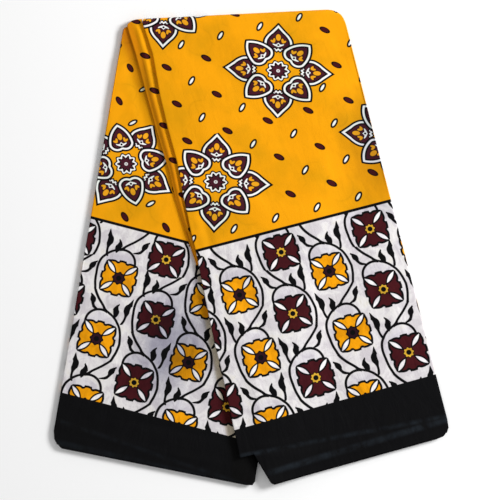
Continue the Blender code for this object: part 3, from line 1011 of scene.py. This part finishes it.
def make_cotton_group():
    """Plain-woven cotton: its ink a little uneven, the print of the layer below faintly through it, painted
    shade in a dip and along folds, a painted highlight on the black band's creases, and the height of its
    threads and small wrinkles."""
    tree, (cloth, colour, ground, band, dark_place, dark_depth, painted_shade, crease_sheen) = new_group(
        "printed_cotton",
        {"Cloth": "place", "Colour": "colour", "Ground": "number", "Band": "number",
         "Dark place": "place", "Dark depth": "number", "Warm": "number", "Worn": "number"},
        {"Colour": "colour", "Roughness": "number", "Height": "number"},
    )
    x, y, _ = parts(cloth)
    patches = noise(cloth, 15.0, Detail=3.0, Roughness=0.55)
    patch_mask = ramp(patches, 4.5, -1.95)
    streaks = noise(stretched(cloth, 2.4, 0.7, 0.5), 30.0, Detail=4.0, Roughness=0.6)
    streak_mask = ramp(streaks, 4.6, -1.95)
    white = 1.0 - ground
    mottles = noise(cloth, 62.0, Detail=3.0, Roughness=0.6, Distortion=0.8)
    cool_mask = ramp(mottles, 7.0, -3.1)
    warm_mask = ramp(mottles, -7.0, 3.1)
    colour = tinted(cool_mask * white, colour, COOL_WHITE)
    colour = tinted(warm_mask * white * 0.8, colour, WARM_WHITE)
    colour = tinted(patch_mask * white * 0.7, colour, GREY_WHITE)
    colour = tinted(patch_mask * ground, colour, DULL_YELLOW)
    colour = tinted(streak_mask * ground * 0.2, colour, STREAK)
    # Painted shade: one soft bluish-grey place of the cloth, wider than it is long, stands for the shade of a
    # dip in it
    dark_x, dark_y, dark_size = parts(dark_place)
    dark_reach = length((x - dark_x) * 1.25, (y - dark_y) * 0.8) / dark_size
    dip_shade_mask = maths("MULTIPLY", 1.45 - dark_reach - streaks * 0.8, 1.5, clamp=True)
    colour = tinted(dip_shade_mask * dark_depth, colour, PAINTED_DIP_SHADE)
    # Painted shade: tan and deeper brown along the folds, where their shadows fall on the cloth
    colour = tinted(painted_shade, colour, PAINTED_FOLD_SHADE)
    colour = tinted(painted_shade - 1.0, colour, PAINTED_DEEP_SHADE)
    # The layer below shows through the yellow as faint rings of petals
    ghost_x, ghost_y = wrapped(x * 1000.0 + 21.0, 113.0), wrapped(y * 1000.0 - 31.0, 108.0)
    ghost_reach = length(ghost_x, ghost_y)
    petals = 9.0 * abs(maths("COSINE", maths("ARCTAN2", ghost_y, ghost_x) * 4.0))
    rings = smaller(abs(ghost_reach - petals - 38.0), abs(ghost_reach - 17.0)) - 1.2
    rings = ramp(rings, -0.6, 0.5)
    colour = tinted(rings * patch_mask * ground, colour, GHOST)
    # Painted highlight: two lines of the black band made paler and bluish, where the ridges of ironed creases
    # catch the light
    first_line = abs(y + 0.250 + x * 0.08) - 0.0004
    second_line = abs(y + 0.267 - x * 0.02) - 0.0014
    sheen_lines = ramp(smaller(first_line, second_line), -300.0, 1.0)
    painted_sheen_mask = sheen_lines * band * crease_sheen * ramp(mottles + streaks, 2.0, -1.5)
    colour = coloured(painted_sheen_mask, colour, PAINTED_CREASE_SHEEN)
    across_threads = maths("SINE", x * (2 * math.pi / THREAD))
    up_threads = maths("SINE", y * (2 * math.pi / THREAD))
    weave = across_threads * up_threads
    fibres = noise(cloth, 900.0, Detail=2.0)
    colour = tinted(maths("MULTIPLY_ADD", weave, 0.5, 0.5), colour, THREAD_SHADE)
    wrinkles = noise(stretched(cloth, 1.0, 0.35, 0.9), 45.0, Detail=4.0, Roughness=0.55,
                        Distortion=0.6)
    ripples = noise(stretched(cloth, 0.4, 1.0, -0.5), 28.0, Detail=2.0, Roughness=0.5)
    height = (wrinkles + ripples * 0.8) * (1.0 - ground * 0.6) + weave * 0.012 + fibres * 0.03
    rough = maths("MULTIPLY_ADD", fibres, 0.16, 0.76) - band * 0.06
    give(tree, Colour=colour, Roughness=rough, Height=height)
    return tree


def cloth_material(name, print_group, cotton_group, dark_place, dark_depth, crease_sheen, **values):
    """Printed cotton, with the print placed on the flat cloth by these values."""
    mat = bpy.data.materials.new(name)
    mat.use_nodes = True
    tree = mat.node_tree
    shader = tree.nodes["Principled BSDF"]
    shader.inputs["Specular IOR Level"].default_value = SHINE
    source = tree.nodes.new("ShaderNodeUVMap")
    source.uv_map = "cloth"
    cloth = Term(tree, source.outputs["UV"])
    ink, ground, band = use(tree, print_group, Cloth=cloth, **values)
    # The edge map holds how much painted shade lies on each place of the cloth
    edge = tree.nodes.new("ShaderNodeUVMap")
    edge.uv_map = "edge"
    painted_shade, _, _ = parts(Term(tree, edge.outputs["UV"]))
    colour, rough, height = use(
        tree, cotton_group, Cloth=cloth, Colour=ink, Ground=ground, Band=band, Dark_place=dark_place,
        Dark_depth=dark_depth, Warm=painted_shade, Worn=crease_sheen)
    tree.links.new(colour.socket, shader.inputs["Base Color"])
    tree.links.new(rough.socket, shader.inputs["Roughness"])
    bump = tree.nodes.new("ShaderNodeBump")
    bump.inputs["Strength"].default_value = BUMP_STRENGTH
    bump.inputs["Distance"].default_value = BUMP_DISTANCE
    tree.links.new(height.socket, bump.inputs["Height"])
    tree.links.new(bump.outputs["Normal"], shader.inputs["Normal"])
    return mat


class Lobe(NamedTuple):
    """How a lobe's cloth lies in plan: its border's direction, where its first red column meets the field's
    line, how the field slants, fans and stretches above it, how much longer the band and the field are drawn,
    and how the line itself tilts."""

    run: Vector
    across: float
    up: float
    slant: float
    fan_across: float
    fan_up: float
    stretch_up: float
    band: float
    field: float
    tilt: float


RIGHT_LOBE = Lobe(Vector((0.964, 0.266)), 29.1, 12.4, 0.0236, 0.000286, 0.000177, 0.000111, 1.0, 1.0, 0.016)
LEFT_LOBE = Lobe(Vector((0.968, -0.252)), -92.8, -13.7, 0.0, 0.0007, 0.0, 0.00038, 1.025, 1.0, 0.0)
STRIP = Lobe(Vector((0.964, 0.266)), 31.3, 12.4, 0.0, 0.0, 0.0, 0.0, 1.0, 1.08, 0.0)
STRETCH_FROM, STRETCH = 36.0, 0.00033


def cloth_of(lobe, shift=(0.0, 0.0)):
    """What turns a plan point of a lobe into a place on the flat cloth, in metres."""
    def cloth_at(p):
        across = p.dot(lobe.run) - lobe.across
        up = p.dot(Vector((-lobe.run.y, lobe.run.x))) - lobe.up
        up += lobe.tilt * across * max(0.0, 1.0 - (up / 60.0 if up > 0 else -up / 217.0))
        up *= lobe.band if up < 0 else lobe.field
        past = max(-up - STRETCH_FROM, 0.0)
        grown = 1.0 + STRETCH * past
        if past:
            up = -STRETCH_FROM - math.log(grown) / STRETCH
        field = max(up, 0.0)
        spread = across / grown + field * (lobe.slant + lobe.fan_across * across)
        up += field * (lobe.stretch_up * field + lobe.fan_up * across)
        return Vector((spread + shift[0], up + shift[1])) * MM

    return cloth_at


kanga_print = make_print_group()
printed_cotton = make_cotton_group()
# After each cotton group: where its painted dip shade lies with its size, how deep that shade is, and how
# strong its painted crease highlight is
right_cotton = cloth_material(
    "right_panel_cotton", kanga_print, printed_cotton, (0.150, 0.060, 0.070), 0.55, 1.0,
    First_medallion=-49.3, Medallions=1.0, Seed_place=(-17.9, 224.9, 0.0), Mirror=1.0)
left_cotton = cloth_material(
    "left_panel_cotton", kanga_print, printed_cotton, (0.026, -0.125, 0.064), 0.9, 0.4,
    First_medallion=-82.3, Medallions=1.0, Seed_place=(-64.5, 10.9, 0.0), Mirror=-1.0)
strip_cotton = cloth_material(
    "pleat_strip_cotton", kanga_print, printed_cotton, (0.0, 0.0, 0.05), 0.0, 0.0, First_medallion=0.0,
    Medallions=0.0, Seed_place=(-93.6, 45.0, 0.0), Mirror=1.0)

# Turns over the top fold: where each starts, and its angles with how far each end is drawn in
UPPER_TURN = (BOTH_LOBES / 2, [
    (15, 0.0, 0.2), (30, 0.1, 0.6), (45, 0.2, 1.5), (60, 0.4, 2.6), (75, 0.7, 4.0), (90, 1.0, 5.5),
    (105, 1.3, 6.9), (120, 1.6, 8.0), (135, 1.9, 8.9), (150, 2.2, 9.5),
])
STRIP_TURN = (STRIP_TOP / 2, [
    (15, 0.1, 0.0), (30, 0.3, 0.0), (60, 0.9, 0.0), (90, 1.8, 0.0), (120, 2.6, 0.0),
])

# Each whole lobe's sides, and how far inside the top fold's line its plan starts
UPPER_LOBE = (LEFT_FOLD, RIGHT_FOLD, UPPER_HEM, BOTH_LOBES / 2)
LOWER_LOBE = (LOWER_LEFT, LOWER_RIGHT, LOWER_HEM, 7.0)

upper_across = shares(84, 0.06, 0.10, 0.19, 0.22, 0.955, 0.98)
upper_down = shares(170, *(a.share for a in LEFT_FOLD[1:-1]), 0.96, 0.985)
lower_across = shares(80, 0.02, 0.97, 0.99)
lower_down = shares(170, 0.96, 0.985)

sheets = [
    Sheet("right_panel_cloth", lobe_rows(*UPPER_LOBE, upper_across, upper_down), True, upper_top,
          relief_of(RIGHT_CREASES), NOSE, UPPER_TURN),
    Sheet("left_panel_cloth", lower_rows(lower_across, lower_down), False, lambda p: LOBE,
          relief_of(LEFT_CREASES), NOSE, None),
    Sheet("pleat_strip_cloth", strip_rows(shares(12), shares(90)), False,
          lambda p: STRIP_TOP, strip_relief, NOSE, STRIP_TURN),
]


def painted_shade_left(p):
    """How much painted shade the lower lobe's cloth has: the upper lobe's fold's shadow beside it, wider
    towards the hem, and the shade beside the pleat strip, widest near the top fold."""
    away = at_height(LEFT_FOLD, p.y).x - p.x
    reach = 7.0 + 5.0 * smooth((-20.0 - p.y) / 230.0)
    by_fold = smooth((reach - away) / 4.0) * smooth((4.0 - p.y) / 40.0)
    away = at_height(STRIP_FOLD, p.y).x - p.x
    reach = 5.0 + 17.0 * smooth((p.y - 150.0) / 80.0)
    by_strip = smooth((reach - away) / (reach * 0.8)) * smooth((p.y - 60.0) / 100.0)
    by_strip *= 0.9 + 0.8 * smooth((p.y - 205.0) / 50.0)
    return by_fold + by_strip


def painted_shade_strip(p):
    """How much painted shade the pleat strip's cloth has: along its own fold, least in its roll."""
    inside_fold = p.x - at_height(STRIP_FOLD, p.y).x
    return 1.3 * smooth((11.5 - inside_fold) / 5.0)


cloths = (
    ("right_panel", cloth_of(RIGHT_LOBE), right_cotton, lambda p: 0.0, (0.275, 0.545), ["upper_layer_1"]),
    ("left_panel", cloth_of(LEFT_LOBE), left_cotton, painted_shade_left, (0.158, 0.535), ["lower_layer_1"]),
    ("pleat_strip", cloth_of(STRIP, (0.0, 17.0)), strip_cotton, painted_shade_strip, (0.03, 0.3),
     ["left_panel_cloth"]),
)
for sheet, (node, cloth_at, cotton, painted_shade_at, flat, rests_on) in zip(sheets, cloths):
    obj = make_mesh(sheet.name, sheet_grid(sheet), cloth_at, painted_shade_at)
    finish_sheet(obj, cotton, node, flat, rests_on)


class Leaf(NamedTuple):
    """Two hidden layers joined at their folds: how deep the upper one lies under the lobe's top, how high
    their folds are, and how far they are drawn in."""

    name: str
    depth: float
    height: float
    left_in: float
    right_in: float
    hem_in: float
    lower_hem_in: float


def leaf_grid(leaf, rows, top):
    """The places of a pair of hidden layers, each row a ring round both."""
    rows = inset_rows(rows, leaf.left_in, leaf.right_in, leaf.hem_in)
    count = len(rows) - 1
    grid = []
    for j, row in enumerate(rows):
        a, b = rows[max(j - 1, 0)], rows[min(j + 1, count)]
        radius = leaf.height / 2
        left_in, right_in = inward_of(a[0], b[0], True), inward_of(a[-1], b[-1], False)
        up = (rows[0][0] - rows[count][0]).normalized() * leaf.lower_hem_in * smooth((j / count - 0.9) / 0.1)
        ring = [Point(p, 0.0, p) for p in row[1:-1]]
        for edge, inward, way in ((row[-1], right_in, 1), (row[0], left_in, -1)):
            side = []
            for angle in NOSE_STEPS[::2]:
                p = edge + inward * (radius - radius * math.sin(angle)) + up * (angle / math.pi)
                side.append(Point(p, radius - radius * math.cos(angle), edge))
            ring += side if way > 0 else []
            if way > 0:
                ring += [Point(p + up, leaf.height, p) for p in reversed(row[1:-1])]
            else:
                ring += list(reversed(side))
        ring.append(ring[0])
        grid.append([(placed(q.plan, top(q.plan) - leaf.depth - q.depth), q.cloth) for q in ring])
    return grid


layer_across, layer_down = shares(20, 0.06, 0.10, 0.19, 0.22, 0.955), shares(60, 0.96, 0.985)
lower_layer_across = shares(20, 0.02, 0.97, 0.99)
upper_plan = lobe_rows(*UPPER_LOBE, layer_across, layer_down)
lower_plan = lobe_rows(*LOWER_LOBE, lower_layer_across, layer_down)
LEAVES = (
    (Leaf("upper_layer_1", 2.75, 1.75, 0.8, 1.2, 1.4, 1.2), upper_plan, upper_top, RIGHT_LOBE, right_cotton,
     ["upper_layer_2"]),
    (Leaf("upper_layer_2", 4.8, 1.9, 9.0, 0.6, 2.6, -1.4), upper_plan, upper_top, RIGHT_LOBE, right_cotton,
     ["left_panel_cloth"]),
    (Leaf("lower_layer_1", 2.75, 1.5, 0.6, 1.2, 1.0, 1.4), lower_plan, lambda p: LOBE, LEFT_LOBE, left_cotton,
     ["lower_layer_2"]),
    (Leaf("lower_layer_2", 4.5, 1.4, 0.9, 0.6, 2.2, -1.2), lower_plan, lambda p: LOBE, LEFT_LOBE, left_cotton,
     []),
)
for leaf, rows, top, lobe, cotton, rests_on in LEAVES:
    obj = make_mesh(leaf.name, leaf_grid(leaf, rows, top), cloth_of(lobe, (31.0, 0.0)))
    finish_sheet(obj, cotton, "inner_layers", (0.49, 0.53), rests_on)

# The floor, just under the cloth
FLOOR_HALF, FLOOR_Z = 6.0, -0.0002
corners = [(x * FLOOR_HALF, y * FLOOR_HALF, FLOOR_Z) for x, y in ((-1, -1), (1, -1), (1, 1), (-1, 1))]
floor_mesh = bpy.data.meshes.new("floor")
floor_mesh.from_pydata(corners, [], [(0, 1, 2, 3)])
floor = bpy.data.objects.new("floor", floor_mesh)
bpy.context.scene.collection.objects.link(floor)
floor_paint = bpy.data.materials.new("pale_floor")
floor_paint.use_nodes = True
paint = floor_paint.node_tree.nodes["Principled BSDF"].inputs
paint["Base Color"].default_value = (0.95, 0.95, 0.95, 1.0)
paint["Roughness"].default_value = 0.85
floor_mesh.materials.append(floor_paint)

scene = bpy.context.scene
camera_data = bpy.data.cameras.new("camera")
camera_data.lens = 180.0
camera_data.sensor_width = 36.0
camera = bpy.data.objects.new("camera", camera_data)
camera.location = (-0.00135, -0.00346, 3.0)
scene.collection.objects.link(camera)
scene.camera = camera

world = bpy.data.worlds.new("studio")
world.use_nodes = True
air = world.node_tree.nodes["Background"].inputs
air["Color"].default_value = (1.0, 1.0, 1.0, 1.0)
air["Strength"].default_value = 0.5
scene.world = world

# One large soft light, up to the right
key_data = bpy.data.lights.new("key", "AREA")
key_data.size = 0.8
key_data.energy = 66.0
key = bpy.data.objects.new("key", key_data)
key.location = (1.9, 0.75, 1.5)
key.rotation_euler = (-key.location).to_track_quat("-Z", "Y").to_euler()
scene.collection.objects.link(key)
scene.view_settings.view_transform = "Standard"
